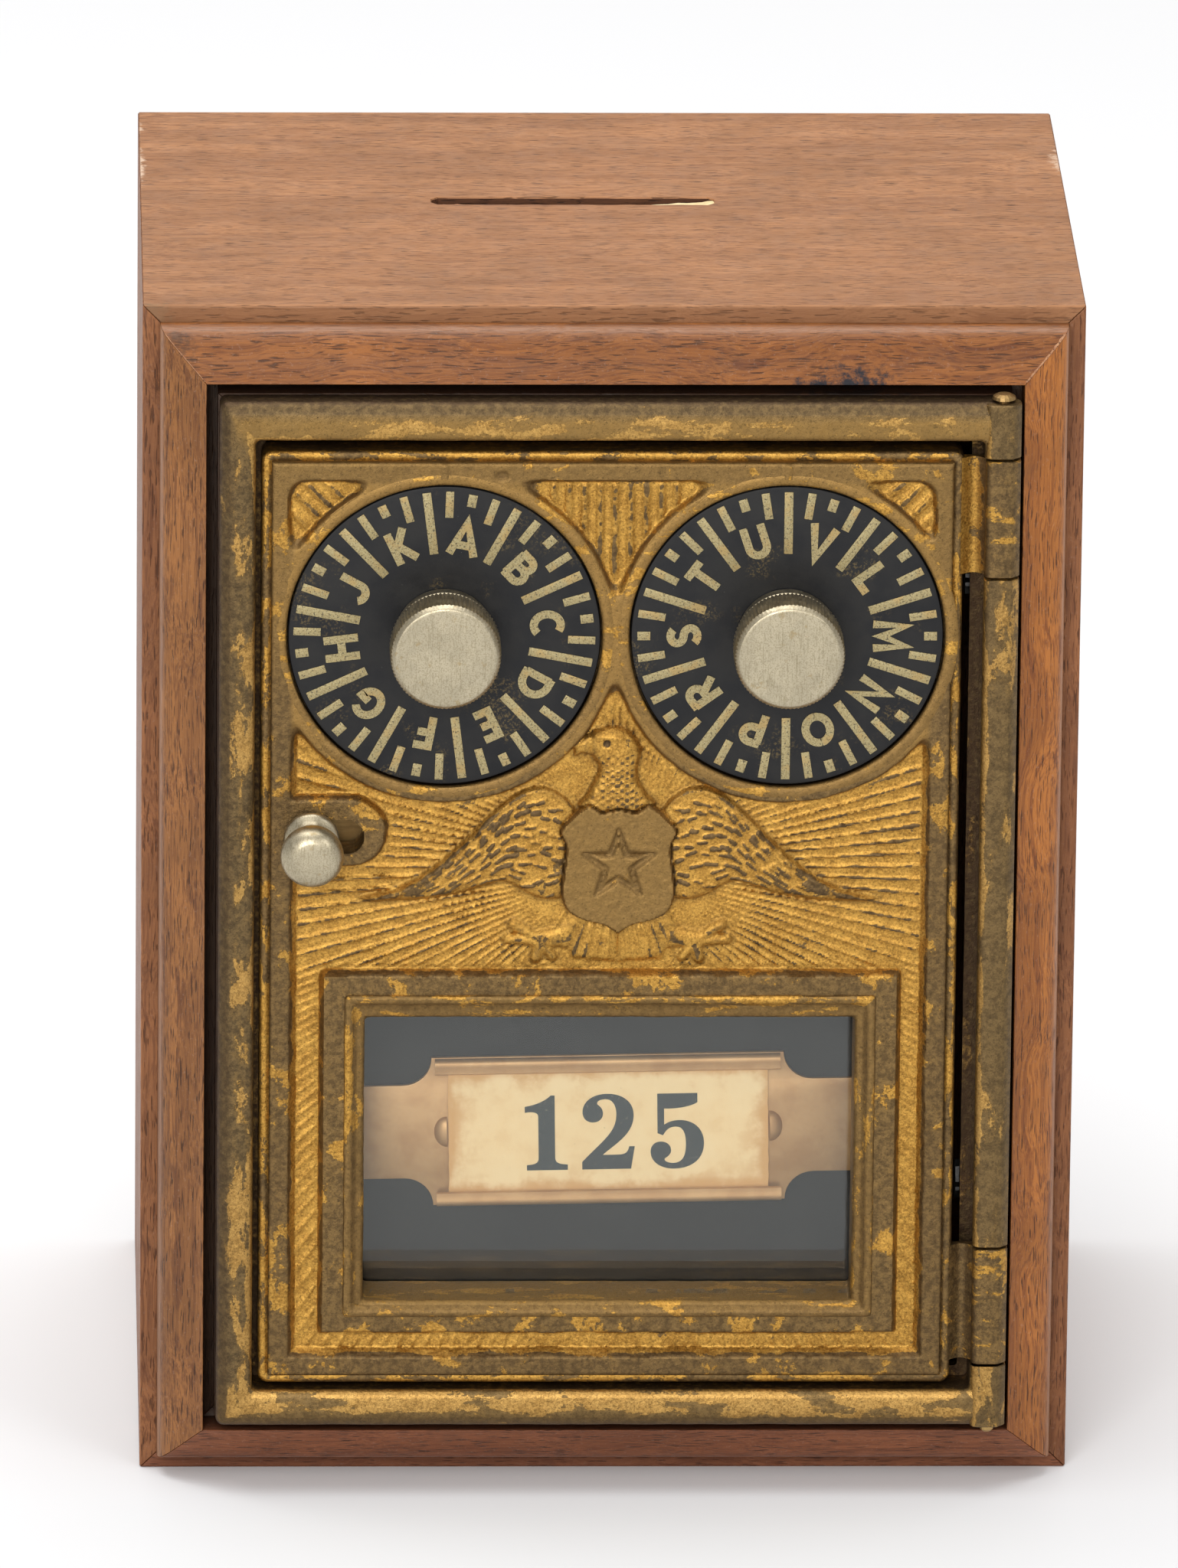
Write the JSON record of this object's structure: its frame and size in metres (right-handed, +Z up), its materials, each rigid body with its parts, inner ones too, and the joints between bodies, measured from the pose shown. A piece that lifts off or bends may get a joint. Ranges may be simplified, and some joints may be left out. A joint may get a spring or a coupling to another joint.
{
  "type": "coin bank with lock-box door",
  "caption": "Tabletop coin bank: a small cast brass lock-box door with letter dials, a latch knob and a glazed number window, hinged in a mitred wooden case with a coin slot.",
  "frame": {"origin": "centre of the case's underside, halfway between its front edge plane and its back", "axes": "+X to the right as seen from the front, +Y to the back, +Z up; the door faces -Y"},
  "size_m": [0.11, 0.101, 0.144],
  "materials": {
    "walnut": "satin varnish over reddish walnut",
    "dark_walnut": "satin varnish over darker walnut",
    "brass": "worn brown brass with patches of old lacquer",
    "lacquered_brass": "gold lacquer worn off the raised parts",
    "nickel": "aged nickel plate, fine turned lines",
    "black_enamel": "semi-matt black enamel with bare brass marks",
    "steel": "plain bright steel, slightly dulled",
    "black_card": "matt black card",
    "paper": "aged cream card, tanned at the edges",
    "glass": "clear flat glass"
  },
  "bodies": {
    "case": {"case_top": "walnut", "case_bottom": "walnut", "case_left": "walnut", "case_right": "walnut", "moulding_top": "dark_walnut", "moulding_bottom": "dark_walnut", "moulding_left": "dark_walnut", "moulding_right": "dark_walnut", "case_back": "dark_walnut", "back_screw_1": "steel", "back_screw_2": "steel", "back_screw_3": "steel", "back_screw_4": "steel", "door_frame": "brass", "frame_screw_left_1": "steel", "frame_screw_left_2": "steel", "frame_screw_right_1": "steel", "frame_screw_right_2": "steel", "hinge_pin": "steel"},
    "door": {"door_plate": "lacquered_brass", "glass_pane": "glass", "card_holder": "brass", "number_card": "paper", "window_backing": "black_card", "window_retainer": "brass", "retainer_screw_1": "brass", "retainer_screw_2": "brass", "retainer_screw_3": "brass", "retainer_screw_4": "brass", "lock_cover": "brass", "cover_screw_1": "brass", "cover_screw_2": "brass", "cover_screw_3": "brass", "cover_screw_4": "brass", "guide_screw_1": "brass", "guide_screw_2": "brass", "bolt_spring": "steel"},
    "left_dial_set": {"left_dial": "black_enamel", "left_knob": "nickel", "left_spindle": "steel", "left_tumbler": "brass", "left_nut": "brass"},
    "right_dial_set": {"right_dial": "black_enamel", "right_knob": "nickel", "right_spindle": "steel", "right_tumbler": "brass", "right_nut": "brass"},
    "latch": {"latch_knob": "nickel", "bolt_slide": "brass"}
  },
  "joints": [
    {"name": "door_hinge", "type": "hinge", "parent": "case", "child": "door", "pos_m": [0.0451, -0.0497, 0.072], "axis": [0, 0, 1], "range_deg": [0, 135]},
    {"name": "left_dial_turn", "type": "hinge", "parent": "door", "child": "left_dial_set", "pos_m": [-0.0198, -0.0495, 0.1066], "axis": [0, -1, 0], "continuous": true},
    {"name": "right_dial_turn", "type": "hinge", "parent": "door", "child": "right_dial_set", "pos_m": [0.0202, -0.0495, 0.1066], "axis": [0, -1, 0], "continuous": true},
    {"name": "latch_slide", "type": "slide", "parent": "door", "child": "latch", "axis": [1, 0, 0], "range_m": [0, 0.0042], "stiffness_N_per_m": 300, "springref_m": -0.004, "deforming": ["bolt_spring"]}
  ]
}
